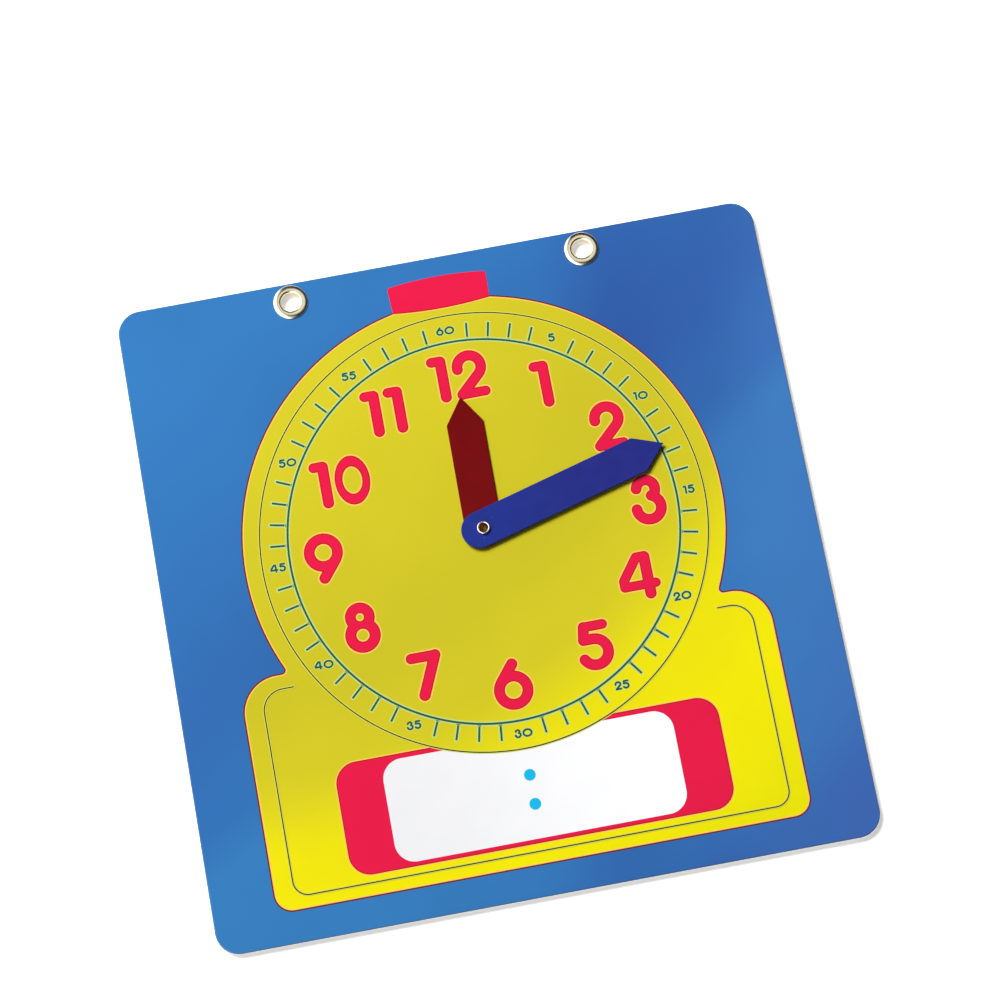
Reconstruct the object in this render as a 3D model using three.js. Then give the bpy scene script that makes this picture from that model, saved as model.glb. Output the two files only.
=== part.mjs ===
// A flat teaching clock: a square laminated card with two metal hanging grommets near its
// top edge, and two plastic hands that turn on one semi-tubular rivet through the dial.
// Millimetres. +Z points out of the printed face, +Y towards the grommets, and the origin is
// under the middle of the card, on the surface that the clock lies on.

import * as THREE from 'three';

const degree = Math.PI / 180;

// Card: greyboard between two sheets, cut to size in one stroke
const boardSide = 304.8;
const boardCornerRadius = 11;
const coreThickness = 1.5;
const frontSheetThickness = 0.3;
const backSheetThickness = 0.25;
const dialCentreRise = 18.9;

// Grommets: a domed eyelet pushed in from the front and curled over a washer at the back
const grommetSpacing = 139.7;
const grommetEdgeInset = 9.2;
const grommetWall = 0.35;
const grommetHoleRadius = 4.5;
const grommetFlangeRadius = 8.25;
const grommetDomeHeight = 1.25;
const grommetCurlRadius = 0.55;
const grommetRimRise = 0.15;
const grommetHoleClearance = 0.15;
const washerRadius = 7.4;
const washerThickness = 0.4;
const washerEdgeRound = 0.12;

// Rivet: oval head at the back, solid shank, hollow front end rolled out into a lip
const rivetShankRadius = 2.5;
const rivetBoreRadius = 2.1;
const rivetBoreDepth = 3.4;
const rivetBoreConeDepth = 0.9;
const rivetHeadRadius = 4.4;
const rivetHeadHeight = 1;
const rivetLipOverhang = 0.55;
const rivetLipRoundRadius = 0.5;
const rivetHoleClearance = 0.15;

// Hands: flat mouldings with eased edges, a pointed tip and a round tail set back behind the pivot
const handWidth = 17.2;
const handThickness = 1;
const handTipLength = 12.6;
const handEdgeRound = 0.3;
const hourReach = 63.7;
const hourTailSetback = 0.2;
const minuteReach = 92.6;
const minuteTailSetback = 2;
const handGap = 0.3;
const hourRestAngle = 0.5 * degree;
const minuteRestAngle = 74.9 * degree;

// How finely the round forms are cut: an arc gets twice its number of steps
const turnSteps = 36;
const domeSteps = 6;
const curlSteps = 4;
const outlineSteps = 8;
const edgeSteps = 3;

// Levels, from the surface that the curled grommets touch
const curlCentreLevel = grommetCurlRadius + grommetWall / 2;
const curlDepth = curlCentreLevel + grommetRimRise;
const boardBack = curlDepth + washerThickness;
const coreBack = boardBack + backSheetThickness;
const coreFront = coreBack + coreThickness;
const boardFront = coreFront + frontSheetThickness;
const hourHandBack = boardFront + handGap;
const minuteHandBack = hourHandBack + handThickness + handGap;
const rivetLipBack = minuteHandBack + handThickness + handGap;

// Places on the card
const halfSide = boardSide / 2;
const grommetRise = halfSide - grommetEdgeInset;
const grommetPlaces = { left: -grommetSpacing / 2, right: grommetSpacing / 2 };
const grommetWallRadius = grommetHoleRadius + grommetWall / 2;
const grommetBarrelRadius = grommetHoleRadius + grommetWall;

function finish(color, roughness, metalness) {
  return new THREE.MeshStandardMaterial({ color, roughness, metalness });
}

function piece(name, geometry, material) {
  const mesh = new THREE.Mesh(geometry, material);
  mesh.name = name;
  return mesh;
}

// A closed profile of points (radius, height) turned about +Z
function turned(profile, steps) {
  const geometry = new THREE.LatheGeometry(profile, steps);
  geometry.rotateX(Math.PI / 2);
  return geometry;
}

// The closed profile of a bent sheet: its middle line, moved half a wall to either side
function sheetProfile(middle, wall) {
  const sides = [[], []];
  middle.forEach((point, i) => {
    const before = middle[Math.max(i - 1, 0)];
    const after = middle[Math.min(i + 1, middle.length - 1)];
    const along = after.clone().sub(before).normalize();
    const across = new THREE.Vector2(along.y, -along.x).multiplyScalar(wall / 2);
    sides[0].push(point.clone().add(across));
    sides[1].push(point.clone().sub(across));
  });
  const loop = [...sides[0], ...sides[1].reverse()];
  return [...loop, loop[0].clone()];
}

// A hole in two half turns
function roundHole(x, y, radius) {
  const hole = new THREE.Path();
  hole.absarc(x, y, radius, 0, -Math.PI, true);
  hole.absarc(x, y, radius, Math.PI, 0, true);
  return hole;
}

// The card's outline with its three punched holes
function boardOutline() {
  const inner = halfSide - boardCornerRadius;
  const outline = new THREE.Shape();
  outline.absarc(inner, inner, boardCornerRadius, 0, Math.PI / 2);
  outline.absarc(-inner, inner, boardCornerRadius, Math.PI / 2, Math.PI);
  outline.absarc(-inner, -inner, boardCornerRadius, Math.PI, 1.5 * Math.PI);
  outline.absarc(inner, -inner, boardCornerRadius, 1.5 * Math.PI, 2 * Math.PI);
  const grommetHole = grommetBarrelRadius + grommetHoleClearance;
  outline.holes = Object.values(grommetPlaces).map((x) => roundHole(x, grommetRise, grommetHole));
  outline.holes.push(roundHole(0, dialCentreRise, rivetShankRadius + rivetHoleClearance));
  return outline;
}

function boardLayer(name, back, thickness, material) {
  const geometry = new THREE.ExtrudeGeometry(boardOutline(), {
    depth: thickness,
    bevelEnabled: false,
    curveSegments: outlineSteps,
  });
  const layer = piece(name, geometry, material);
  layer.position.z = back;
  return layer;
}

// The eyelet's middle line: rim, dome, barrel, and the curl that grips the washer
function grommetGeometry() {
  const rimRadius = grommetFlangeRadius - grommetWall / 2;
  const domeReach = (rimRadius - grommetWallRadius) / 2;
  const domeFoot = boardFront + grommetRimRise;
  const domeRise = grommetDomeHeight - grommetWall / 2 - grommetRimRise;
  const curlCentre = grommetWallRadius + grommetCurlRadius;
  const dome = new THREE.Path();
  dome.absellipse(grommetWallRadius + domeReach, domeFoot, domeReach, domeRise, 0, Math.PI);
  const curl = new THREE.Path();
  curl.absarc(curlCentre, curlCentreLevel, grommetCurlRadius, Math.PI, 2 * Math.PI);
  const middle = [
    new THREE.Vector2(rimRadius, boardFront),
    ...dome.getPoints(domeSteps),
    ...curl.getPoints(curlSteps),
    new THREE.Vector2(curlCentre + grommetCurlRadius, curlDepth),
  ];
  return turned(sheetProfile(middle, grommetWall), turnSteps);
}

// A flat ring with eased edges, under the eyelet's curl
function washerGeometry() {
  const inner = grommetBarrelRadius + grommetHoleClearance;
  const ease = washerEdgeRound;
  const top = washerThickness;
  const profile = [
    [inner, 0],
    [washerRadius - ease, 0],
    [washerRadius, ease],
    [washerRadius, top - ease],
    [washerRadius - ease, top],
    [inner, top],
    [inner, 0],
  ].map(([radius, height]) => new THREE.Vector2(radius, height));
  return turned(profile, turnSteps);
}

function grommet(side, x) {
  const group = new THREE.Group();
  const brass = finish(0xc9bd97, 0.28, 1);
  const washer = piece(`grommet_washer_${side}`, washerGeometry(), brass.clone());
  washer.position.z = curlDepth;
  group.add(piece(`grommet_${side}`, grommetGeometry(), brass), washer);
  group.position.set(x, grommetRise, 0);
  return group;
}

// Head, shank, rolled lip and blind bore in one profile, from the head's crown to the bore's floor
function rivetGeometry() {
  const lipTop = rivetLipBack + 2 * rivetLipRoundRadius;
  const lipMiddle = rivetLipBack + rivetLipRoundRadius;
  const lipCentre = rivetShankRadius + rivetLipOverhang - rivetLipRoundRadius;
  const boreFloor = lipTop - rivetBoreDepth;
  const quarter = Math.PI / 2;
  const head = new THREE.Path();
  head.absellipse(0, boardBack, rivetHeadRadius, rivetHeadHeight, -quarter, 0);
  const lip = new THREE.Path();
  lip.absarc(lipCentre, lipMiddle, rivetLipRoundRadius, -quarter, quarter);
  const mouth = new THREE.Path();
  const mouthReach = lipCentre - rivetBoreRadius;
  mouth.absellipse(lipCentre, lipMiddle, mouthReach, rivetLipRoundRadius, quarter, Math.PI);
  const profile = [
    ...head.getPoints(curlSteps),
    new THREE.Vector2(rivetShankRadius, boardBack),
    new THREE.Vector2(rivetShankRadius, rivetLipBack),
    ...lip.getPoints(curlSteps),
    ...mouth.getPoints(curlSteps / 2).slice(1),
    new THREE.Vector2(rivetBoreRadius, boreFloor),
    new THREE.Vector2(0, boreFloor - rivetBoreConeDepth),
  ];
  profile[0].x = 0;
  return turned(profile, turnSteps);
}

function rivet() {
  const mesh = piece('centre_rivet', rivetGeometry(), finish(0xc8c6c0, 0.25, 1));
  mesh.position.y = dialCentreRise;
  return mesh;
}

// A hand's outline, pointing along +Y from its pivot hole
function handOutline(reach, tailSetback) {
  const half = handWidth / 2;
  const shoulder = reach - handTipLength;
  const outline = new THREE.Shape();
  outline.moveTo(0, reach);
  outline.lineTo(-half, shoulder);
  outline.absarc(0, -tailSetback, half, Math.PI, 2 * Math.PI);
  outline.lineTo(half, shoulder);
  outline.closePath();
  outline.holes.push(roundHole(0, 0, rivetShankRadius + rivetHoleClearance));
  return outline;
}

function hand(name, outline, back, clockwise, material) {
  const geometry = new THREE.ExtrudeGeometry(outline, {
    depth: handThickness - 2 * handEdgeRound,
    bevelEnabled: true,
    bevelThickness: handEdgeRound,
    bevelSize: handEdgeRound,
    bevelOffset: -handEdgeRound,
    bevelSegments: edgeSteps,
    curveSegments: outlineSteps,
  });
  geometry.translate(0, 0, handEdgeRound);
  const mesh = piece(name, geometry, material);
  mesh.position.set(0, dialCentreRise, back);
  mesh.rotation.z = -clockwise;
  return mesh;
}

const hourOutline = handOutline(hourReach, hourTailSetback);
const minuteOutline = handOutline(minuteReach, minuteTailSetback);
const clock = new THREE.Group();
clock.add(
  boardLayer('back_sheet', boardBack, backSheetThickness, finish(0xf1efe8, 0.55, 0)),
  boardLayer('core_board', coreBack, coreThickness, finish(0x9c968a, 0.9, 0)),
  boardLayer('front_print_sheet', coreFront, frontSheetThickness, finish(0x3d74b8, 0.3, 0)),
  ...Object.entries(grommetPlaces).map(([side, x]) => grommet(side, x)),
  rivet(),
  hand('hour_hand', hourOutline, hourHandBack, hourRestAngle, finish(0x7a0c12, 0.35, 0)),
  hand('minute_hand', minuteOutline, minuteHandBack, minuteRestAngle, finish(0x2a3494, 0.35, 0)),
);

export default clock;
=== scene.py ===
"""Looks of a flat teaching clock: a laminated card with two grommets, and two hands on a rivet."""

from math import acos, asin, atan2, cos, degrees, hypot, pi, radians, sin, sqrt

import bmesh
import bpy
from mathutils import Matrix, Vector
from mathutils.geometry import delaunay_2d_cdt


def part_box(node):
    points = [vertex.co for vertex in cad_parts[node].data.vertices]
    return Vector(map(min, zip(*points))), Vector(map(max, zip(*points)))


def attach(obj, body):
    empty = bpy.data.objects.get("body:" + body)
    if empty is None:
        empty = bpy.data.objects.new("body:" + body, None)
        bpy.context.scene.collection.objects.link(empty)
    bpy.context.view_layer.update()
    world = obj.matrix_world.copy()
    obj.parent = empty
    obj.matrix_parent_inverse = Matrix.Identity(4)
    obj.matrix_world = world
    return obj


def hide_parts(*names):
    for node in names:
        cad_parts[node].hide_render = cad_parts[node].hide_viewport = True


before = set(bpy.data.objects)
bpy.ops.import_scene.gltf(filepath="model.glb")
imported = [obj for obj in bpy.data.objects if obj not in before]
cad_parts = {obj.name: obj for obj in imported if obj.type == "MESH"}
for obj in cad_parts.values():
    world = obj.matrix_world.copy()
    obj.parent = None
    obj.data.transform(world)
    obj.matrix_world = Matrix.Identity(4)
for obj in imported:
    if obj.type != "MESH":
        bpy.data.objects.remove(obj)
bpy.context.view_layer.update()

# Setting: a plain white table top, faintly lit from within, in a studio, seen from almost straight above.
# A large softbox hangs to the upper left, so that the hands throw a short soft shadow down to the right.
# Metal and gloss don't mirror the softbox. They mirror the bright and dark sides of the studio.

mm = 0.001
scene = bpy.context.scene
scene.view_settings.view_transform = "Standard"


def node(tree, kind, links=(), **settings):
    """A node with its settings. Its inputs are set to values, or linked to other nodes' sockets."""
    made = tree.nodes.new(kind)
    for name, value in settings.items():
        setattr(made, name, value)
    for name, value in dict(links).items():
        if isinstance(value, bpy.types.NodeSocket):
            tree.links.new(value, made.inputs[name])
        else:
            made.inputs[name].default_value = value
    return made


def calculated(tree, operation, *terms):
    """The outcome of a calculation with two or three terms."""
    return node(tree, "ShaderNodeMath", dict(enumerate(terms)), operation=operation).outputs["Value"]


def ranged(tree, value, start, end, low=0.0, high=1.0, **settings):
    """A number that goes from low to high while a value goes from start to end."""
    span = {"Value": value, "From Min": start, "From Max": end, "To Min": low, "To Max": high}
    return node(tree, "ShaderNodeMapRange", span, **settings).outputs["Result"]


def linear(red, green, blue):
    """A colour on the 0 to 255 scale of a picture, as the light that it stands for."""
    shares = [value / 255 for value in (red, green, blue)]
    return (*[s / 12.92 if s <= 0.04045 else ((s + 0.055) / 1.055) ** 2.4 for s in shares], 1)


def table_top():
    half = 8000 * mm
    roughness, gloss, glow = 0.7, 0.2, 0.4
    mesh = bpy.data.meshes.new("table_top")
    corners = [(-half, -half, 0), (half, -half, 0), (half, half, 0), (-half, half, 0)]
    mesh.from_pydata(corners, [], [(0, 1, 2, 3)])
    paint = bpy.data.materials.new("table_top_paint")
    paint.use_nodes = True
    shader = paint.node_tree.nodes["Principled BSDF"]
    shader.inputs["Base Color"].default_value = linear(250, 250, 251)
    shader.inputs["Roughness"].default_value = roughness
    shader.inputs["Specular IOR Level"].default_value = gloss
    shader.inputs["Emission Color"].default_value = (1, 1, 1, 1)
    shader.inputs["Emission Strength"].default_value = glow
    mesh.materials.append(paint)
    top = bpy.data.objects.new("table_top", mesh)
    scene.collection.objects.link(top)


def studio_sky():
    """A dark room with a bright wall on the left, two white panels and a pale floor.

    Each has its direction, how nearly a ray must point there for its light to start and to be full, and
    its light. Metal and film show them in full, and matt surfaces get less, so that shadows stay deep.
    """
    darkest, share_on_matt = 0.04, 0.09
    cool_white = (0.97, 0.985, 1, 1)
    left_wall = ((-0.95, -0.1, 0), 0.1, 0.45, 2.4)
    overhead_panel = ((0.13, 0.26, 0.96), 0.93, 0.975, 1.0)
    panel_by_camera = ((-0.35, -0.55, 0.76), 0.9, 0.96, 0.9)
    floor = ((0, 0, 1), 0.22, 0.0, 0.3)
    world = bpy.data.worlds.new("studio")
    scene.world = world
    world.use_nodes = True
    tree = world.node_tree
    tree.nodes.clear()
    ray = node(tree, "ShaderNodeTexCoord").outputs["Generated"]
    strength = darkest
    for towards, start, full, light in (left_wall, overhead_panel, panel_by_camera, floor):
        pointing = node(tree, "ShaderNodeVectorMath", {0: ray, 1: towards}, operation="DOT_PRODUCT")
        nearness = pointing.outputs["Value"]
        lit = ranged(tree, nearness, start, full, high=light, interpolation_type="SMOOTHSTEP")
        strength = calculated(tree, "MAXIMUM", strength, lit)
    on_matt = node(tree, "ShaderNodeLightPath").outputs["Is Diffuse Ray"]
    share = ranged(tree, on_matt, 0, 1, low=1.0, high=share_on_matt)
    strength = calculated(tree, "MULTIPLY", strength, share)
    sky = node(tree, "ShaderNodeBackground", {"Color": cool_white, "Strength": strength})
    node(tree, "ShaderNodeOutputWorld", {"Surface": sky.outputs["Background"]})


def softbox(name, towards, distance, side, power):
    """A square lamp that gloss doesn't mirror. Its distance from the clock and its side are in metres."""
    lamp = bpy.data.lights.new(name, "AREA")
    lamp.shape = "SQUARE"
    lamp.size = side
    lamp.energy = power
    holder = bpy.data.objects.new(name, lamp)
    back = Vector(towards).normalized()
    holder.location = back * distance
    holder.visible_glossy = False
    holder.rotation_mode = "QUATERNION"
    holder.rotation_quaternion = back.to_track_quat("Z", "Y")
    scene.collection.objects.link(holder)


def photo_camera():
    target = Vector((9.895, 30.957, 3.325)) * mm
    distance = 1286.8 * mm
    azimuth, elevation, roll = radians(-5.201), radians(77.673), radians(-5.407)
    sensor_width, focal_length = 36, 99.88
    lens = bpy.data.cameras.new("photo_camera")
    lens.sensor_width = sensor_width
    lens.lens = focal_length
    camera = bpy.data.objects.new("photo_camera", lens)
    back = Vector((sin(azimuth) * cos(elevation), -cos(azimuth) * cos(elevation), sin(elevation)))
    turn = back.to_track_quat("Z", "Y").to_matrix() @ Matrix.Rotation(roll, 3, "Z")
    camera.matrix_world = Matrix.Translation(target + back * distance) @ turn.to_4x4()
    scene.collection.objects.link(camera)
    scene.camera = camera


table_top()
studio_sky()
softbox("key_softbox", towards=(-0.5, 0.7, 1), distance=3.0, side=1.3, power=128)
photo_camera()

# Card: 1.5 mm greyboard between a printed front sheet under clear wipe-off film and a plain back paper.
# The layers are glued, laminated and die-cut together, and the die presses the front edge round.

board_corner = 11.0
pressed_edge = 0.55
pressed_steps = 8
corner_steps = 24
grommet_hole = 5.0
rivet_hole = 2.65


def surface(name):
    """A new material with its node tree and shader, and the place on the piece that its patterns read."""
    material = bpy.data.materials.new(name)
    material.use_nodes = True
    tree = material.node_tree
    place = node(tree, "ShaderNodeTexCoord").outputs["Object"]
    return material, tree, tree.nodes["Principled BSDF"], place


def speckle(tree, place, size, detail):
    """Random light and dark over the surface, in specks of a size in millimetres."""
    settings = {"Vector": place, "Scale": 1 / (size * mm), "Detail": detail}
    return node(tree, "ShaderNodeTexNoise", settings).outputs["Fac"]


def drift(tree, place, size, low, high, detail=2.0):
    """A slow random change over the surface, from low to high, in patches of a size in millimetres."""
    speckle_low, speckle_high = 0.3, 0.7
    return ranged(tree, speckle(tree, place, size, detail), speckle_low, speckle_high, low, high)


def blend(tree, share, first, second):
    """Mixes a share of the second colour into the first."""
    first_colour, second_colour, mixture = 6, 7, 2
    mixing = {"Factor": share, first_colour: first, second_colour: second}
    return node(tree, "ShaderNodeMix", mixing, data_type="RGBA").outputs[mixture]


def colour_in(tree, shader, colour, shade, roughness):
    """Gives a shader its roughness, and its colour, made lighter or darker by a shade."""
    tone = node(tree, "ShaderNodeHueSaturation", {"Color": colour, "Value": shade})
    tree.links.new(tone.outputs["Color"], shader.inputs["Base Color"])
    tree.links.new(roughness, shader.inputs["Roughness"])


def relief(tree, shader, pattern, strength, height):
    """Raises a surface by a pattern, to a height in millimetres."""
    raised = {"Height": pattern, "Strength": strength, "Distance": height * mm}
    normal = node(tree, "ShaderNodeBump", raised).outputs["Normal"]
    tree.links.new(normal, shader.inputs["Normal"])
    return normal


def tone_run(tree, place, tones, across=None, around=None):
    """Painted light and sheen: a colour that runs through tones, each set at a distance in millimetres.

    The distance is measured along a direction across the card, or else around a point.
    """
    middle_stop = 0.5
    if around:
        point = Vector((*around, 0)) * mm
        measured = node(tree, "ShaderNodeVectorMath", {0: place, 1: point}, operation="DISTANCE")
    else:
        direction = (*across, 0)
        measured = node(tree, "ShaderNodeVectorMath", {0: place, 1: direction}, operation="DOT_PRODUCT")
    start, end = tones[0][0], tones[-1][0]
    share = ranged(tree, measured.outputs["Value"], start * mm, end * mm)
    ramp = node(tree, "ShaderNodeValToRGB", {"Fac": share})
    ramp.color_ramp.interpolation = "EASE"
    stops = ramp.color_ramp.elements
    while len(stops) < len(tones):
        stops.new(middle_stop)
    for stop, (distance, colour) in zip(stops, tones):
        stop.position = (distance - start) / (end - start)
        stop.color = linear(*colour)
    return ramp.outputs["Color"]


def film_print(name, tones, across=(1, 0), around=None, crossing=None, change=0.02, patch=14, film=0.06):
    """Slightly mottled ink under clear glossy film, with a fine grain and smears where it was wiped.

    An ink is one colour, or tones of painted light and sheen that run across the card or around a point.
    Crossing holds a second such run and its direction, and shares the ink with the first. Film is how much
    of its gloss shows.
    """
    grain_size, grain_detail, grain_strength, grain_height = 0.9, 3.0, 0.12, 0.02
    smear_size, smear_detail, wiped, smeared = 26, 4.0, 0.3, 0.42
    ink_gloss, film_roughness, equal_share = 0.05, 0.12, 0.5
    material, tree, shader, place = surface(name)
    one_colour = isinstance(tones, tuple)
    colour = linear(*tones) if one_colour else tone_run(tree, place, tones, across, around)
    if crossing:
        colour = blend(tree, equal_share, colour, tone_run(tree, place, *crossing))
    mottle = drift(tree, place, patch, 1 - change, 1 + change)
    colour_in(tree, shader, colour, mottle, drift(tree, place, smear_size, wiped, smeared, smear_detail))
    grain = speckle(tree, place, grain_size, grain_detail)
    normal = relief(tree, shader, grain, grain_strength, grain_height)
    tree.links.new(normal, shader.inputs["Coat Normal"])
    shader.inputs["Specular IOR Level"].default_value = ink_gloss
    shader.inputs["Coat Weight"].default_value = film
    shader.inputs["Coat Roughness"].default_value = film_roughness
    return material


def pressed_paper(name, colour, fibre, roughness, flecks):
    """Paper or greyboard: short pressed fibres, with a slight change of tone and of gloss."""
    fibre_width, fibre_detail, fibre_strength, fibre_height = 0.5, 6.0, 0.3, 0.03
    fleck_detail = 5.0
    gloss_size, gloss_detail, gloss_change = 18, 4.0, 0.06
    material, tree, shader, place = surface(name)
    shade = drift(tree, place, fibre, 1 - flecks, 1 + flecks, fleck_detail)
    smoothest, roughest = roughness - gloss_change, roughness + gloss_change
    gloss = drift(tree, place, gloss_size, smoothest, roughest, gloss_detail)
    colour_in(tree, shader, linear(*colour), shade, gloss)
    fibres = speckle(tree, place, fibre_width, fibre_detail)
    relief(tree, shader, fibres, fibre_strength, fibre_height)
    return material


def finish_node(name, material):
    """Gives a CAD node its finish."""
    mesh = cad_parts[name].data
    mesh.materials.clear()
    mesh.materials.append(material)


def middle_of(name):
    """The middle of a round CAD node, seen from above, in millimetres."""
    low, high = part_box(name)
    return Vector(((low.x + high.x) / 2, (low.y + high.y) / 2)) / mm


def arc(centre, radius, start, end, steps=None):
    """Points on an arc between two angles in degrees. A radius may be a pair, for an ellipse."""
    fewest, in_a_turn, more_per_radius = 6, 48, 2
    across, up = radius if isinstance(radius, tuple) else (radius, radius)
    whole_turn = in_a_turn + more_per_radius * max(across, up)
    steps = steps or max(fewest, int(abs(end - start) / 360 * whole_turn))
    turns = [radians(start + (end - start) * i / steps) for i in range(steps + 1)]
    return [(centre[0] + across * cos(t), centre[1] + up * sin(t)) for t in turns]


def disc(centre, radius):
    return arc(centre, radius, 0, 360)[:-1]


def rounded_box(low, high, bottom_radius, top_radius, steps=None):
    """A box's outline with round corners, anticlockwise."""
    (x0, y0), (x1, y1) = low, high
    b, t = bottom_radius, top_radius
    return [
        *arc((x1 - t, y1 - t), t, 0, 90, steps),
        *arc((x0 + t, y1 - t), t, 90, 180, steps),
        *arc((x0 + b, y0 + b), b, 180, 270, steps),
        *arc((x1 - b, y0 + b), b, 270, 360, steps),
    ]


def cut_out(solids, counters):
    """Joins flat outlines and cuts others out. Gives the corner points and the triangles that are left."""
    inside_only, nearest = 1, 1e-4
    points, faces = [], []
    for outline in [*solids, *counters]:
        faces.append(list(range(len(points), len(points) + len(outline))))
        points.extend(Vector(point) for point in outline)
    corners, _, triangles, _, _, sources = delaunay_2d_cdt(points, [], faces, inside_only, nearest)
    kept = [t for t, source in zip(triangles, sources) if source and max(source) < len(solids)]
    return corners, kept


def add_piece(name, mesh, body):
    piece = bpy.data.objects.new(name, mesh)
    scene.collection.objects.link(piece)
    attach(piece, body)
    return piece


def close_up(mesh):
    """Joins the points of a mesh that lie together, and turns its faces outwards."""
    together, no_length = 1e-8, 1e-9
    shape = bmesh.new()
    shape.from_mesh(mesh)
    bmesh.ops.remove_doubles(shape, verts=shape.verts, dist=together)
    bmesh.ops.dissolve_degenerate(shape, edges=shape.edges, dist=no_length)
    bmesh.ops.recalc_face_normals(shape, faces=shape.faces)
    shape.to_mesh(mesh)
    shape.free()


def printed_sheet(ink_and_film, edge_film):
    """The sheet with its three punched holes, and its front edge pressed round over the board."""
    low, high = (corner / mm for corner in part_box("front_print_sheet"))
    first_turn = asin((pressed_edge - (high.z - low.z)) / pressed_edge)
    rings = []
    for step in range(pressed_steps + 1):
        turn = first_turn + (pi / 2 - first_turn) * step / pressed_steps
        inset = pressed_edge * (1 - cos(turn))
        height = high.z - pressed_edge * (1 - sin(turn))
        corner = board_corner - inset
        near, far = (low.x + inset, low.y + inset), (high.x - inset, high.y - inset)
        outline = rounded_box(near, far, corner, corner, corner_steps)
        rings.append([(x, y, height) for x, y in outline])
    points, faces = [], []

    def add(more_points, more_faces):
        first = len(points)
        points.extend(Vector(point) * mm for point in more_points)
        faces.extend(tuple(first + i for i in face) for face in more_faces)

    def wall(lower, upper):
        count = len(lower)
        sides = [(i, (i + 1) % count) for i in range(count)]
        add([*lower, *upper], [(here, there, there + count, here + count) for here, there in sides])

    for lower, upper in zip(rings, rings[1:]):
        wall(lower, upper)
    pressed_faces = len(faces)
    holes = [disc(middle_of("grommet_" + side), grommet_hole) for side in ("left", "right")]
    holes.append(disc(middle_of("centre_rivet"), rivet_hole))
    for ring in (rings[0], rings[-1]):
        corners, triangles = cut_out([[point[:2] for point in ring]], holes)
        add([(p.x, p.y, ring[0][2]) for p in corners], triangles)
    for hole in holes:
        wall([(x, y, low.z) for x, y in hole], [(x, y, high.z) for x, y in hole])
    mesh = bpy.data.meshes.new("printed_sheet")
    mesh.from_pydata(points, [], faces)
    mesh.materials.append(ink_and_film)
    mesh.materials.append(edge_film)
    pressed = [index < pressed_faces for index in range(len(faces))]
    mesh.polygons.foreach_set("use_smooth", pressed)
    mesh.polygons.foreach_set("material_index", [int(flag) for flag in pressed])
    close_up(mesh)
    sheet = add_piece("printed_sheet", mesh, "board")
    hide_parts("front_print_sheet")


# These runs of blue are painted light and sheen, in two directions across the card, over a print of one
# even blue.
blue_painted_light_sideways = [
    (-165, (51, 114, 176)),
    (15, (50, 112, 176)),
    (58, (46, 82, 154)),
    (95, (50, 92, 162)),
    (136, (64, 110, 179)),
    (165, (68, 107, 180)),
]
blue_painted_light_slantwise = [
    (-185, (46, 90, 160)),
    (-150, (51, 114, 178)),
    (-90, (54, 124, 184)),
    (-30, (56, 126, 186)),
    (-5, (48, 102, 169)),
    (34, (46, 88, 159)),
    (90, (48, 102, 169)),
    (120, (50, 112, 176)),
    (168, (52, 118, 180)),
]
sideways, slantwise = (0.985, -0.174), (-0.515, 0.857)
crossing = (blue_painted_light_slantwise, slantwise)
blue = film_print("sky_blue_print_with_painted_light", blue_painted_light_sideways, sideways, crossing=crossing, change=0.04, patch=70)
blue_edge = film_print("sky_blue_edge_with_painted_light", blue_painted_light_sideways, sideways, crossing=crossing, film=1.0)
printed_sheet(blue, blue_edge)
# The board is a mid-dark grey, which makes the card's cut edge show as a dark line.
grey_board = pressed_paper("grey_board", (120, 115, 107), fibre=1.2, roughness=0.85, flecks=0.12)
white_paper = pressed_paper("white_back_paper", (236, 234, 228), fibre=2.5, roughness=0.5, flecks=0.02)
finish_node("core_board", grey_board)
finish_node("back_sheet", white_paper)

# Printed clock body: a yellow disc on a wide foot, printed with a plum line and a peach line round it.
# Each ink is a thin closed plate on its own level just above the sheet, with edges as sharp as print.

print_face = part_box("front_print_sheet")[1].z / mm
ink_film = 0.012
print_shift = Vector((0, 0.1))
pivot = middle_of("centre_rivet")
dial = pivot + print_shift
body_radius = 112.5
foot_half_width = 123.5
foot_shift = -0.27
foot_bottom = -157.33
shoulder_radius = 17.7
shoulder_top = -49.3
foot_corner_radius = 8.8
neck_radius = 1.3
neck_steps = 8
plum_line = 0.72
peach_line = 0.55


def plate(name, corners, triangles, bottom, top, material):
    """A flat closed plate between two heights, from the triangles of its outline."""
    used = sorted({i for t in triangles for i in t})
    place = {old: new for new, old in enumerate(used)}
    count = len(used)
    at = [corners[i] + dial for i in used]
    points = [(p.x * mm, p.y * mm, z * mm) for z in (bottom, top) for p in at]
    faces, open_edges = [], {}
    for triangle in triangles:
        a, b, c = (place[i] for i in triangle)
        p, q, r = at[a], at[b], at[c]
        if (q - p).cross(r - p) < 0:
            b, c = c, b
        faces.append((a + count, b + count, c + count))
        faces.append((c, b, a))
        for edge in ((a, b), (b, c), (c, a)):
            if edge[::-1] in open_edges:
                del open_edges[edge[::-1]]
            else:
                open_edges[edge] = True
    faces += [(a, b, b + count, a + count) for a, b in open_edges]
    mesh = bpy.data.meshes.new(name)
    mesh.from_pydata(points, [], faces)
    mesh.materials.append(material)
    return add_piece(name, mesh, "board")


def ink(name, level, material, solids, counters=()):
    """A film of ink on its level above the sheet."""
    corners, triangles = cut_out(solids, counters)
    bottom = print_face + level * ink_film
    return plate(name, corners, triangles, bottom, bottom + ink_film, material)


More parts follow.
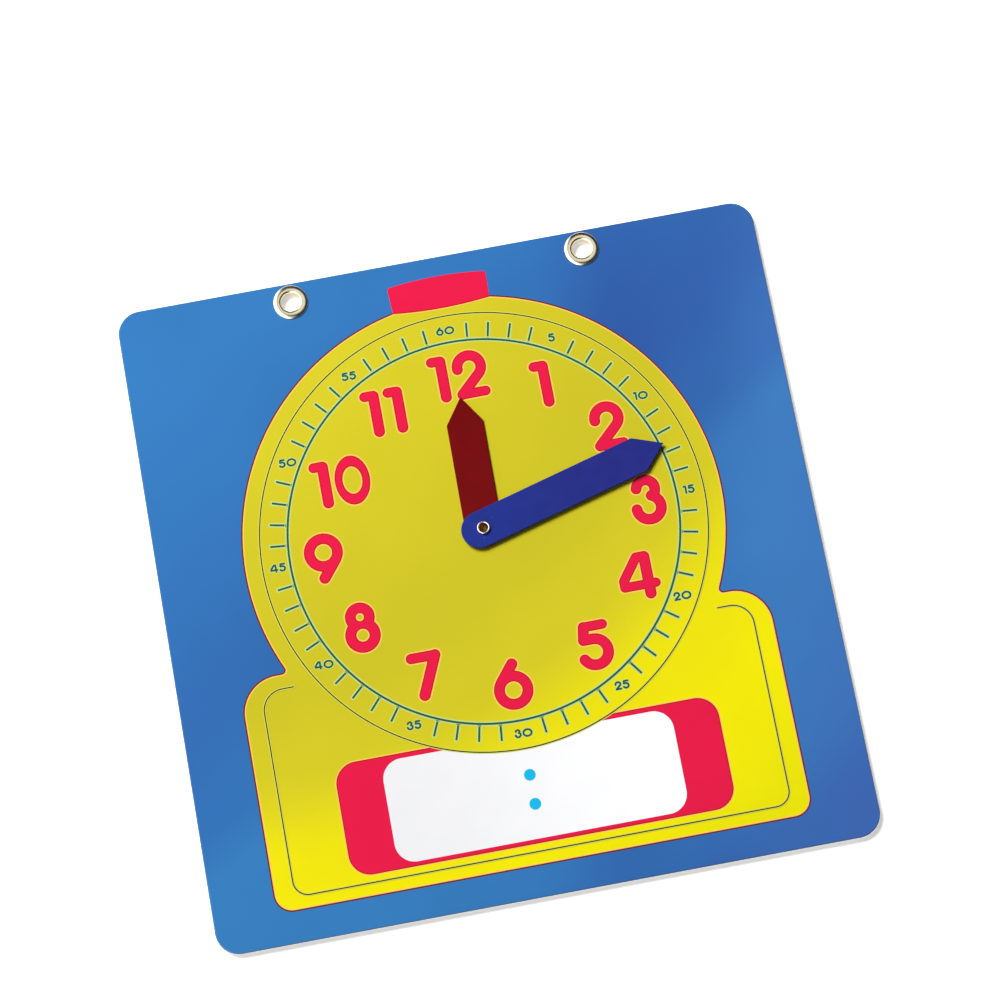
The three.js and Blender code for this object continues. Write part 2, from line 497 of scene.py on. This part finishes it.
def clock_body(inset):
    """The clock's disc and foot, with a small hollow on each side between them, drawn in by an inset."""
    radius = body_radius - inset
    top = shoulder_top - inset
    low = (foot_shift - foot_half_width + inset, foot_bottom + inset)
    high = (foot_shift + foot_half_width - inset, top)
    foot = rounded_box(low, high, foot_corner_radius - inset, shoulder_radius - inset)
    hollow = neck_radius + inset
    height = top + hollow
    reach = sqrt((radius + hollow) ** 2 - height**2)
    meeting = degrees(atan2(height, reach))
    curve = arc((reach, height), hollow, 180 + meeting, 270, neck_steps)
    sunk = top - hollow
    inside = (sqrt(radius**2 - sunk**2) - hollow, sunk)
    right_neck = [inside, (reach, sunk), *curve[::-1]]
    left_neck = [(-x, y) for x, y in right_neck[::-1]]
    return [disc((0, 0), radius), foot, right_neck, left_neck]


plum = film_print("plum_line", (104, 40, 46))
peach = film_print("peach_overprint", (250, 192, 96))
# These tones of yellow are painted light and sheen. They run with the distance from a point beyond the
# card's upper left: dull and hazy near it, brightest towards the lower right.
yellow_painted_light_run = [
    (100, (205, 193, 38)),
    (235, (196, 185, 37)),
    (270, (202, 191, 36)),
    (318, (230, 219, 14)),
    (350, (236, 225, 8)),
    (404, (228, 220, 10)),
]
painted_light_centre = (-116, 198)
yellow = film_print("yellow_print_with_painted_light", yellow_painted_light_run, around=painted_light_centre, patch=45)
pivot_hole = [disc(-print_shift, rivet_hole)]
ink("body_plum_line", 0, plum, clock_body(0), pivot_hole)
ink("body_peach_line", 1, peach, clock_body(plum_line), pivot_hole)
ink("body_yellow", 2, yellow, clock_body(plum_line + peach_line), pivot_hole)

# Digital panel: a red bar with a white writing field and two blue dots for a colon, under the dial.
# It is printed like the rest, and the dial's yellow runs over its top edge.

panel_low, panel_high, panel_corner = (-87.3, -147.3), (89.7, -95.5), 10.0
panel_edge = 0.52
panel_rim = 0.52
field_low, field_high, field_corner = (-65.9, -145.2), (68.4, -97.9), 9.2
colon_dot_radius = 2.7
colon_rises = (-116.1, -129.5)


def grown_box(low, high, corner, grow):
    wide = ((low[0] - grow, low[1] - grow), (high[0] + grow, high[1] + grow))
    return rounded_box(*wide, corner + grow, corner + grow)


rim_red = film_print("dark_red_rim", (172, 30, 22))
red = film_print("signal_red_print", (222, 27, 69), change=0.03, patch=40)
# The white field's run from greyer on the left to whiter on the right is painted light.
white = film_print("white_field_with_painted_light", [(-70, (230, 230, 232)), (70, (248, 248, 249))], change=0.01)
cyan = film_print("cyan_print", (26, 178, 228))
ink("panel_peach_line", 3, peach, [grown_box(panel_low, panel_high, panel_corner, panel_edge)])
ink("panel_rim", 4, rim_red, [grown_box(panel_low, panel_high, panel_corner, 0)])
ink("panel_red", 5, red, [grown_box(panel_low, panel_high, panel_corner, -panel_rim)])
ink("panel_white_field", 6, white, [grown_box(field_low, field_high, field_corner, 0)])
ink("panel_colon", 7, cyan, [disc((0, rise), colon_dot_radius) for rise in colon_rises])

# Dial: a yellow disc over the panel's edge, inside a fine olive ring, with a teal minute ring further in.
# The lines have a pale edge where the yellow ink was held back from them.

dial_radius = 103.9
minute_ring_radius = 90.9
minute_ring_width = 0.97
fine_line = 0.5
fine_edge = 0.42
teal_edge = 0.6
foot_line_half_width = 114.0
foot_line_bottom = -150.9
foot_line_top = -56.5
foot_line_start = 98.9
foot_line_low_corner, foot_line_high_corner = 7.0, 9.75


def ring(radius, width):
    return disc((0, 0), radius + width / 2), disc((0, 0), radius - width / 2)


def both_sides(points, width):
    """The points to the left and to the right of a smooth line, half a width away."""
    left, right = [], []
    for i, point in enumerate(points):
        before = Vector(points[max(i - 1, 0)])
        after = Vector(points[min(i + 1, len(points) - 1)])
        along = (after - before).normalized()
        across = Vector((-along.y, along.x)) * width / 2
        left.append(tuple(Vector(point) + across))
        right.append(tuple(Vector(point) - across))
    return left, right


def stroke(points, width):
    """The outline of a pen stroke with round ends along a smooth line of points."""
    end_steps = 12
    left, right = both_sides(points, width)
    outline = []
    for side, end, inner in ((right, points[-1], points[-2]), (left[::-1], points[0], points[1])):
        heading = degrees(atan2(end[1] - inner[1], end[0] - inner[0]))
        outline += [*side[:-1], *arc(end, width / 2, heading - 90, heading + 90, end_steps)[:-1]]
    return outline


def foot_line(width):
    """The line inside the foot's edge, open under the dial."""
    low, high = foot_line_low_corner, foot_line_high_corner
    edge, bottom, top = foot_line_half_width, foot_line_bottom, foot_line_top
    right = [
        (0, bottom),
        *arc((edge - low, bottom + low), low, 270, 360),
        *arc((edge - high, top - high), high, 0, 90),
        (foot_line_start, top),
    ]
    left = [(-x, y) for x, y in right[:0:-1]]
    return stroke([*left, *right], width)


olive = film_print("olive_line", (26, 40, 4))
teal = film_print("teal_line", (40, 86, 72))
pale_olive = film_print("held_back_from_olive", (206, 205, 90))
pale_teal = film_print("held_back_from_teal", (186, 210, 130))
ink("dial_yellow", 8, yellow, [disc((0, 0), dial_radius)], pivot_hole)
for name, radius, width, edge, line_ink, edge_ink in (
    ("dial_ring", dial_radius, fine_line, fine_edge, olive, pale_olive),
    ("minute_ring", minute_ring_radius, minute_ring_width, teal_edge, teal, pale_teal),
):
    for part, level, grow, material in (("_edge", 9, edge, edge_ink), ("", 10, 0, line_ink)):
        outside, inside = ring(radius, width + 2 * grow)
        ink(name + part, level, material, [outside], [inside])
ink("foot_line_edge", 9, pale_olive, [foot_line(fine_line + 2 * fine_edge)])
ink("foot_line", 10, olive, [foot_line(fine_line)])

# Minute ticks: four short teal bars between every two minute numbers, each with its pale edge.
# One bar is drawn and set out round the dial by rule.

tick_start, tick_end = 92.3, 99.2
tick_width = 0.95
tick_corner = 0.08
tick_corner_points = 3
tick_rise = 0.1
dial_turn = -0.4
minutes_round = 60
numbered_every = 5


def tick_tree():
    """Bars round a circle, leaving out one in every few."""
    together, under_one = 1e-6, 0.5
    tree = bpy.data.node_groups.new("minute_ticks", "GeometryNodeTree")
    sockets = {}
    for name, kind in (
        ("Middle Radius", "NodeSocketFloat"),
        ("Bar Width", "NodeSocketFloat"),
        ("Bar Length", "NodeSocketFloat"),
        ("Bar Thickness", "NodeSocketFloat"),
        ("Corner Radius", "NodeSocketFloat"),
        ("Places", "NodeSocketInt"),
        ("Left Out Every", "NodeSocketInt"),
        ("Turn", "NodeSocketFloat"),
        ("Centre", "NodeSocketVector"),
        ("Ink", "NodeSocketMaterial"),
    ):
        socket = tree.interface.new_socket(name, in_out="INPUT", socket_type=kind)
        sockets[name] = socket.identifier
    tree.interface.new_socket("Geometry", in_out="OUTPUT", socket_type="NodeSocketGeometry")
    sizes = node(tree, "NodeGroupInput").outputs
    sides = {"Width": sizes["Bar Width"], "Height": sizes["Bar Length"]}
    bar = node(tree, "GeometryNodeCurvePrimitiveQuadrilateral", sides)
    easing = {
        "Curve": bar.outputs["Curve"],
        "Radius": sizes["Corner Radius"],
        "Count": tick_corner_points,
    }
    eased = node(tree, "GeometryNodeFilletCurve", easing, mode="POLY")
    flat = node(tree, "GeometryNodeFillCurve", {"Curve": eased.outputs["Curve"]}, mode="NGONS")
    lift = node(tree, "ShaderNodeCombineXYZ", {"Z": sizes["Bar Thickness"]})
    lifting = {"Mesh": flat.outputs["Mesh"], "Offset": lift.outputs["Vector"], "Offset Scale": 1.0}
    raised = node(tree, "GeometryNodeExtrudeMesh", lifting, mode="FACES")
    underside = node(tree, "GeometryNodeFlipFaces", {"Mesh": flat.outputs["Mesh"]})
    both = node(tree, "GeometryNodeJoinGeometry")
    for part in (raised, underside):
        tree.links.new(part.outputs["Mesh"], both.inputs["Geometry"])
    welding = {"Geometry": both.outputs["Geometry"], "Distance": together}
    closed = node(tree, "GeometryNodeMergeByDistance", welding)
    index = node(tree, "GeometryNodeInputIndex").outputs["Index"]
    spot = node(tree, "GeometryNodePoints", {"Count": sizes["Places"]})
    step = calculated(tree, "DIVIDE", 2 * pi, sizes["Places"])
    angle = calculated(tree, "MULTIPLY_ADD", index, step, sizes["Turn"])
    heading = node(tree, "ShaderNodeCombineXYZ", {"Z": angle})
    arm = node(tree, "ShaderNodeCombineXYZ", {"Y": sizes["Middle Radius"]})
    swing = {"Vector": arm.outputs["Vector"], "Rotation": heading.outputs["Vector"]}
    round_dial = node(tree, "ShaderNodeVectorRotate", swing, rotation_type="EULER_XYZ").outputs["Vector"]
    at = node(tree, "ShaderNodeVectorMath", {0: round_dial, 1: sizes["Centre"]}, operation="ADD")
    spots = {"Geometry": spot.outputs["Points"], "Position": at.outputs["Vector"]}
    placed = node(tree, "GeometryNodeSetPosition", spots)
    left_over = calculated(tree, "MODULO", index, sizes["Left Out Every"])
    setting_out = {
        "Points": placed.outputs["Geometry"],
        "Selection": calculated(tree, "GREATER_THAN", left_over, under_one),
        "Instance": closed.outputs["Geometry"],
        "Rotation": heading.outputs["Vector"],
    }
    bars = node(tree, "GeometryNodeInstanceOnPoints", setting_out)
    real = node(tree, "GeometryNodeRealizeInstances", {"Geometry": bars.outputs["Instances"]})
    inking = {"Geometry": real.outputs["Geometry"], "Material": sizes["Ink"]}
    inked = node(tree, "GeometryNodeSetMaterial", inking)
    node(tree, "NodeGroupOutput", {"Geometry": inked.outputs["Geometry"]})
    return tree, sockets


def set_out(name, tree, sockets, values, body):
    """Runs a rule with its named sizes and keeps the result as a plain mesh on its body."""
    carrier = bpy.data.objects.new(name, bpy.data.meshes.new(name))
    scene.collection.objects.link(carrier)
    rule = carrier.modifiers.new(name, "NODES")
    rule.node_group = tree
    for title, value in values.items():
        rule[sockets[title]] = value
    ready = carrier.evaluated_get(bpy.context.evaluated_depsgraph_get())
    mesh = bpy.data.meshes.new_from_object(ready)
    carrier.modifiers.remove(rule)
    bpy.data.objects.remove(carrier)
    return add_piece(name, mesh, body)


ticks, tick_sockets = tick_tree()
for name, level, grow, material in (
    ("minute_ticks_edge", 9, teal_edge, pale_teal),
    ("minute_ticks", 10, 0.0, teal),
):
    bottom = print_face + level * ink_film
    sizes = {
        "Middle Radius": (tick_start + tick_end) / 2 * mm,
        "Bar Width": (tick_width + 2 * grow) * mm,
        "Bar Length": (tick_end - tick_start + 2 * grow) * mm,
        "Bar Thickness": ink_film * mm,
        "Corner Radius": (tick_corner + grow) * mm,
        "Places": minutes_round,
        "Left Out Every": numbered_every,
        "Turn": radians(-dial_turn),
        "Centre": (dial.x * mm, (dial.y + tick_rise) * mm, bottom * mm),
        "Ink": material,
    }
    set_out(name, ticks, tick_sockets, sizes, "board")

# Figures: the hours in thick red strokes with round ends, the minutes in thin teal ones, all upright.
# The hours have a dark red rim and a peach edge, as the panel has.

figure_height = 22.6
stem = 5.15
bar = 4.7
bowl = 5.0


def tangent(centre, radius, point):
    """The angle on a circle where a line from a point outside touches it, going anticlockwise."""
    across, up = point[0] - centre[0], point[1] - centre[1]
    return degrees(atan2(up, across) + acos(radius / hypot(across, up)))


def figure_strokes():
    """Each figure's strokes, as middle lines with widths, and its closed rings, from its foot's middle.

    A ring has its centre, its radii across and up, and the widths of its sides and of its top and bottom.
    """
    top_line = figure_height - bar / 2
    foot_line_rise = bar / 2
    upright = [(0, figure_height - stem / 2), (0, stem / 2)]
    zero = ((0, 11.76), (6.39, 9.15), (3.66, 5.23))
    one_flag = -4.18
    two_bowl, two_radius, two_start = (0, 15.1), 5.55, 185
    two_foot, two_end = (-5.27, foot_line_rise), 5.67
    two_turn = tangent(two_bowl, two_radius, two_foot)
    three_high = arc((0, 17), 4.33, 169, -51)
    three_low = arc((0, 8.25), 5.68, 69, -179)
    three_waist, three_waist_pen = [(2.6, 13.6), (1.96, 13.6)], 4.05
    four_left, four_bend, four_right = -11.2, -3.72, 3.2
    four_top, four_elbow, four_bar = 20.24, 10.13, 7.1
    four_pen, four_bar_pen = 4.58, 4.41
    five_top, five_waist, five_bowl, five_end = 20.7, 14.63, (0, 8.58), -152
    five_right, five_left, five_heel = 5.46, -3.39, -4.36
    five_top_pen, five_back_pen = 4.57, 4.94
    six_ring, six_radius, six_tip = (0, 9.03), 6.53, (1.3, 21.1)
    six_turn = radians(tangent(six_ring, six_radius, six_tip))
    six_touch = (six_radius * cos(six_turn), six_ring[1] + six_radius * sin(six_turn))
    nine_height = 21.15
    nine_ring = (0, nine_height - six_ring[1])
    nine_tip = (-six_tip[0], nine_height - six_tip[1])
    nine_touch = (-six_touch[0], nine_height - six_touch[1])
    seven_top, seven_left, seven_right, seven_foot = 20.3, -5.6, 5.5, (-2.2, 2.6)
    seven_bar_pen, seven_leg_pen = 4.8, 5.19
    eight_high = ((0, 16.75), (4.37, 4.37), (bowl, bowl))
    eight_low = ((0, 8.2), (5.59, 5.59), (5.2, 5.2))
    one = [([(one_flag, top_line), (0, top_line)], bar), (upright, stem)]
    two = [
        ([*arc(two_bowl, two_radius, two_start, two_turn), two_foot], bowl),
        ([two_foot, (two_end, foot_line_rise)], bar),
    ]
    three = [(three_high, bowl), (three_low, bowl), (three_waist, three_waist_pen)]
    four = [
        (upright, stem),
        ([(0, four_top), (four_bend, four_top)], four_pen),
        ([(four_bend, four_top), (four_left, four_elbow)], four_pen),
        ([(four_left, four_elbow), (four_left, four_bar)], four_pen),
        ([(four_left, four_bar), (four_right, four_bar)], four_bar_pen),
    ]
    five = [
        ([(five_right, five_top), (five_left, five_top)], five_top_pen),
        ([(five_left, five_top), (five_heel, five_waist)], five_back_pen),
        ([(five_heel, five_waist), (0, five_waist)], bowl),
        (arc(five_bowl, five_waist - five_bowl[1], 90, five_end), bowl),
    ]
    seven = [
        ([(seven_left, seven_top), (seven_right, seven_top)], seven_bar_pen),
        ([(seven_right, seven_top), seven_foot], seven_leg_pen),
    ]
    return {
        "0": ([], [zero]),
        "1": (one, []),
        "2": (two, []),
        "3": (three, []),
        "4": (four, []),
        "5": (five, []),
        "6": ([([six_tip, six_touch], stem)], [(six_ring, (six_radius, six_radius), (bowl, bowl))]),
        "7": (seven, []),
        "8": ([], [eight_high, eight_low]),
        "9": ([([nine_tip, nine_touch], stem)], [(nine_ring, (six_radius, six_radius), (bowl, bowl))]),
    }


def draw_figure(figure, place, scale=(1, 1), pen=None, grow=0.0):
    """Outlines and counters of a figure at its place. A pen gives all strokes one width."""
    strokes, rings = figure
    solids, counters = [], []

    def moved(point):
        return (place[0] + scale[0] * point[0], place[1] + scale[1] * point[1])

    for points, width in strokes:
        solids.append(stroke([moved(p) for p in points], (pen or width) + 2 * grow))
    for centre, radii, widths in rings:
        halves = [(pen or width) / 2 + grow for width in widths]
        for side, outlines in ((1, solids), (-1, counters)):
            reach = tuple(r * s + side * half for r, s, half in zip(radii, scale, halves))
            outlines.append(disc(moved(centre), reach))
    return solids, counters


figures = figure_strokes()
hour_rim = 0.5
hour_edge = 0.65
hour_figures = (
    ("1", -5.78, 62.4), ("2", 7.19, 62.4),
    ("1", 41.06, 51.4),
    ("2", 65.75, 26.05),
    ("3", 77.1, -12.55),
    ("4", 70.19, -46.6),
    ("5", 39.85, -74.7),
    ("6", -0.12, -85.7),
    ("7", -38.2, -74.15),
    ("8", -63.5, -47.05),
    ("9", -74.91, -9.45),
    ("1", -68.55, 22.75), ("0", -55.81, 22.3),
    ("1", -39.41, 51.9), ("1", -28.33, 51.9),
)
for name, level, material, grow in (
    ("hour_figures_edge", 9, peach, hour_edge),
    ("hour_figures_rim", 10, rim_red, 0),
    ("hour_figures", 11, red, -hour_rim),
):
    solids, counters = [], []
    for figure, x, y in hour_figures:
        more_solids, more_counters = draw_figure(figures[figure], (x, y), grow=grow)
        solids += more_solids
        counters += more_counters
    ink(name, level, material, solids, counters)

minute_pen = 0.9
minute_height = 3.95
minute_radius = 96.8
minute_gap = 0.45
minute_scale = (0.2, (minute_height - minute_pen) / (figure_height - stem))
minute_zero = ((0, 10.55), (9.35, 8.7), (bowl, bowl))
minute_figures = {key: figures[key] for key in "123456"}
minute_figures["0"] = ([], [minute_zero])


def minute_number(text, centre, grow):
    """A small number, set round its middle with even gaps."""
    shapes, pen_x = [], 0.0
    for key in text:
        solids, _ = draw_figure(minute_figures[key], (0, 0), minute_scale, minute_pen)
        edges = [x for outline in solids for x, _ in outline]
        shapes.append((key, pen_x - min(edges)))
        pen_x += max(edges) - min(edges) + minute_gap
    start = centre[0] - (pen_x - minute_gap) / 2
    foot = centre[1] - minute_height / 2
    placed = ([], [])
    for key, x in shapes:
        drawn = draw_figure(minute_figures[key], (start + x, foot), minute_scale, minute_pen, grow)
        for outlines, target in zip(drawn, placed):
            target.extend(outlines)
    return placed


minute_edge = 0.35
for name, level, material, grow in (
    ("minute_figures_edge", 9, pale_teal, minute_edge),
    ("minute_figures", 10, teal, 0.0),
):
    solids, counters = [], []
    for minute in (minutes_round, *range(numbered_every, minutes_round, numbered_every)):
        bearing = radians(360 * (minute % minutes_round) / minutes_round + dial_turn)
        centre = (minute_radius * sin(bearing), minute_radius * cos(bearing))
        more_solids, more_counters = minute_number(str(minute), centre, grow)
        solids += more_solids
        counters += more_counters
    ink(name, level, material, solids, counters)

# Red cap: the bell-like cap on top of the clock's body, with rims only where it meets the yellow.
# Its crown is slightly arched and its foot follows a shallow hollow curve.

cap_left, cap_right = -23.95, 23.15
cap_top_middle = 123.9
cap_top_radius = 165.0
cap_top_turn = 7
cap_corner = 1.2
cap_corner_steps = 6
cap_curve_steps = 16
cap_foot_left, cap_foot_right = -23.4, 22.8
cap_foot_rise, cap_foot_middle = 109.9, 108.5
cap_rim = 0.5
cap_edge = 0.5


def cap_outline(drop):
    """The cap's outline, with its curved foot lowered by a drop."""
    middle = (cap_left + cap_right) / 2
    crown = (middle, cap_top_middle - cap_top_radius)
    corners = []
    for corner, start, end in ((cap_right - cap_corner, 0, 90), (cap_left + cap_corner, 90, 180)):
        rise = crown[1] + sqrt((cap_top_radius - cap_corner) ** 2 - (corner - middle) ** 2)
        corners.append(arc((corner, rise), cap_corner, start, end, cap_corner_steps))
    top = arc(crown, cap_top_radius, 90 - cap_top_turn, 90 + cap_top_turn, cap_curve_steps)
    span = (cap_foot_right - cap_foot_left) / 2
    sag = cap_foot_rise - cap_foot_middle
    sag_radius = (span**2 + sag**2) / (2 * sag)
    half_turn = degrees(atan2(span, sag_radius - sag))
    foot_centre = ((cap_foot_left + cap_foot_right) / 2, cap_foot_middle - drop + sag_radius)
    foot = arc(foot_centre, sag_radius, 270 - half_turn, 270 + half_turn, cap_curve_steps)
    return [*corners[0], *top, *corners[1], *foot]


ink("cap_peach_line", 3, peach, [cap_outline(cap_rim + cap_edge)])
ink("cap_rim", 4, rim_red, [cap_outline(cap_rim)])
ink("cap_red", 5, red, [cap_outline(0)])

# Grommets: eyelets drawn from thin nickelled brass, pushed through the card from the front and curled
# at the back. Each curl grips a flat washer of the same metal.

grommet_wall = 0.35
grommet_bore = 4.5
grommet_rim_rise = 0.15
grommet_roll = 0.95
grommet_curl = 0.55
washer_clearance = 0.15
washer_ease = 0.12
washer_ease_steps = 4
slope_steps = 18
roll_steps = 12
curl_steps = 18
turn_steps = 128


def turned(name, profile, centre, materials, nodes, lined=0):
    """A closed profile of radii and heights, turned about a vertical line. It stands for CAD nodes.

    The last lined stretches of the profile have the second material.
    """
    points, faces, finishes = [], [], []
    rows = len(profile)
    for step in range(turn_steps):
        angle = 2 * pi * step / turn_steps
        for radius, height in profile:
            x, y = centre.x + radius * cos(angle), centre.y + radius * sin(angle)
            points.append(Vector((x, y, height)) * mm)
        here, there = step * rows, (step + 1) % turn_steps * rows
        for row in range(rows):
            below = (row + 1) % rows
            faces.append((here + row, there + row, there + below, here + below))
            finishes.append(int(rows - 1 - lined <= row < rows - 1))
    mesh = bpy.data.meshes.new(name)
    mesh.from_pydata(points, [], faces)
    for material in materials:
        mesh.materials.append(material)
    mesh.polygons.foreach_set("material_index", finishes)
    mesh.polygons.foreach_set("use_smooth", [True] * len(faces))
    close_up(mesh)
    piece = add_piece(name, mesh, "board")
    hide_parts(*nodes)


def bent_sheet(middle, wall):
    """The closed profile of a bent sheet, half a wall to either side of its middle line."""
    left, right = both_sides(middle, wall)
    return right + left[::-1]


def from_middle(tree, place, centre):
    """The place on a piece, measured from a point that it is round about."""
    moved = {"Vector": place, "Location": (-centre.x * mm, -centre.y * mm, 0)}
    return node(tree, "ShaderNodeMapping", moved).outputs["Vector"]


def bright_metal(name, centre, colour, roughness, tarnish=(0.92, 1.04), metallic=1.0):
    """Plated metal: fine rings from drawing and curling, a few rubbed patches and slight tarnish."""
    ring_spacing, ring_waver, ring_detail, ring_strength, ring_height = 3.3, 1.5, 2.0, 0.06, 0.01
    tarnish_size, rubbed_size, rubbed_smooth, rubbed_rough = 4, 3, 0.03, 0.05
    material, tree, shader, place = surface(name)
    middle = from_middle(tree, place, centre)
    rub = drift(tree, middle, rubbed_size, roughness - rubbed_smooth, roughness + rubbed_rough)
    colour_in(tree, shader, linear(*colour), drift(tree, middle, tarnish_size, *tarnish), rub)
    ringed = {
        "Vector": middle,
        "Scale": 1 / (ring_spacing * mm),
        "Distortion": ring_waver,
        "Detail": ring_detail,
    }
    rings = node(tree, "ShaderNodeTexWave", ringed, wave_type="RINGS", rings_direction="Z")
    relief(tree, shader, rings.outputs["Fac"], ring_strength, ring_height)
    shader.inputs["Metallic"].default_value = metallic
    return material


def grommet(side):
    washer_low, washer_high = (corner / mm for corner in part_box("grommet_washer_" + side))
    low, high = (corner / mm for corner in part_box("grommet_" + side))
    centre = middle_of("grommet_" + side)
    brass = bright_metal("nickelled_brass_" + side, centre, (236, 226, 196), roughness=0.18)
    wall_radius = grommet_bore + grommet_wall / 2
    rim = (high.x - low.x) / 2 - grommet_wall / 2
    crest = (wall_radius + grommet_roll, print_face + grommet_rim_rise)
    rise = high.z - grommet_wall / 2 - crest[1]
    slope = arc(crest, (rim - crest[0], rise), 0, 90, slope_steps)
    dome = [*slope, *arc(crest, (grommet_roll, rise), 90, 180, roll_steps)[1:]]
    curl_height = grommet_curl + grommet_wall / 2
    curl = arc((wall_radius + grommet_curl, curl_height), grommet_curl, 180, 360, curl_steps)
    middle = [(rim, print_face), *dome, *curl, (wall_radius + 2 * grommet_curl, washer_low.z)]
    eyelet = bent_sheet(middle, grommet_wall)
    turned("eyelet_" + side, eyelet, centre, [brass], ["grommet_" + side])
    inner = wall_radius + grommet_wall / 2 + washer_clearance
    outer = (washer_high.x - washer_low.x) / 2
    bottom, top = washer_low.z, washer_high.z
    ringed = [
        (inner, bottom),
        *arc((outer - washer_ease, bottom + washer_ease), washer_ease, 270, 360, washer_ease_steps),
        *arc((outer - washer_ease, top - washer_ease), washer_ease, 0, 90, washer_ease_steps),
        (inner, top),
    ]
    turned("washer_" + side, ringed, centre, [brass], ["grommet_washer_" + side])


for side in ("left", "right"):
    grommet(side)

# Rivet: plated steel, with an oval head at the back, and a hollow end rolled out to a lip over the hands.
# The plating in the drilled hollow has turned brown.

rivet_shank = 2.5
rivet_bore = 2.1
rivet_bore_depth = 3.4
rivet_cone = 0.9
rivet_lip_round = 0.5
rivet_lip_overhang = 0.55
rivet_mouth_steps = 10
rivet_round_steps = 20


def rivet():
    low, high = (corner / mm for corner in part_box("centre_rivet"))
    head = (high.x - low.x) / 2
    card_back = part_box("back_sheet")[0].z / mm
    lip_middle = high.z - rivet_lip_round
    lip_centre = rivet_shank + rivet_lip_overhang - rivet_lip_round
    mouth_reach = (lip_centre - rivet_bore, rivet_lip_round)
    mouth = arc((lip_centre, lip_middle), mouth_reach, 90, 180, rivet_mouth_steps)
    floor = high.z - rivet_bore_depth
    profile = [
        (0, low.z),
        *arc((0, card_back), (head, card_back - low.z), 270, 360, rivet_round_steps)[1:],
        (rivet_shank, card_back),
        (rivet_shank, lip_middle - rivet_lip_round),
        *arc((lip_centre, lip_middle), rivet_lip_round, 270, 450, rivet_round_steps),
        *mouth[1:],
        (rivet_bore, floor),
        (0, floor - rivet_cone),
    ]
    steel = bright_metal("plated_steel", pivot, (232, 228, 222), roughness=0.2)
    browned = bright_metal(
        "browned_bore", pivot, (160, 118, 66), roughness=0.45, tarnish=(0.6, 1.3), metallic=0.6
    )
    finishes = [steel, browned]
    turned("rolled_rivet", profile, pivot, finishes, ["centre_rivet"], lined=2)


rivet()

# Hands: flat mouldings in glossy plastic, deep red for the hours and deep blue for the minutes.
# They turn stiffly on the rivet, and round it they are scuffed.


def hand_plastic(name, colour, near, scuff, roughness):
    """Glossy moulded plastic: slight flow marks, a fine satin grain, and scuffs round the pivot."""
    near_reach, far_reach, scuff_reach = 4, 60, 15
    scuff_size, scuff_detail, unworn, worn, most = 1.1, 2.0, 0.7, 0.78, 0.5
    flow_size, flow_detail, flow_dark, flow_light = 9, 3.0, 0.94, 1.07
    satin_size, satin_detail, smoother, rougher = 12, 4.0, 0.03, 0.05
    grain_size, grain_detail, grain_strength, grain_height = 0.6, 4.0, 0.15, 0.02
    gloss = 0.08
    material, tree, shader, place = surface(name)
    middle = from_middle(tree, place, pivot)
    away = node(tree, "ShaderNodeVectorMath", {0: middle}, operation="LENGTH").outputs["Value"]
    reach = ranged(tree, away, near_reach * mm, far_reach * mm)
    body = blend(tree, reach, linear(*near), linear(*colour))
    marks = ranged(tree, speckle(tree, place, scuff_size, scuff_detail), unworn, worn)
    close = ranged(tree, away, near_reach * mm, scuff_reach * mm, most, 0.0)
    rubbed = blend(tree, calculated(tree, "MULTIPLY", marks, close), body, linear(*scuff))
    shade = drift(tree, place, flow_size, flow_dark, flow_light, flow_detail)
    satin = drift(tree, place, satin_size, roughness - smoother, roughness + rougher, satin_detail)
    colour_in(tree, shader, rubbed, shade, satin)
    grain = speckle(tree, place, grain_size, grain_detail)
    relief(tree, shader, grain, grain_strength, grain_height)
    shader.inputs["Specular IOR Level"].default_value = gloss
    return material


deep_red = hand_plastic(
    "deep_red_plastic", colour=(106, 4, 7), near=(110, 6, 9), scuff=(190, 90, 80), roughness=0.2
)
deep_blue = hand_plastic(
    "deep_blue_plastic", colour=(35, 42, 123), near=(33, 48, 131), scuff=(110, 140, 215), roughness=0.19
)
finish_node("hour_hand", deep_red)
finish_node("minute_hand", deep_blue)
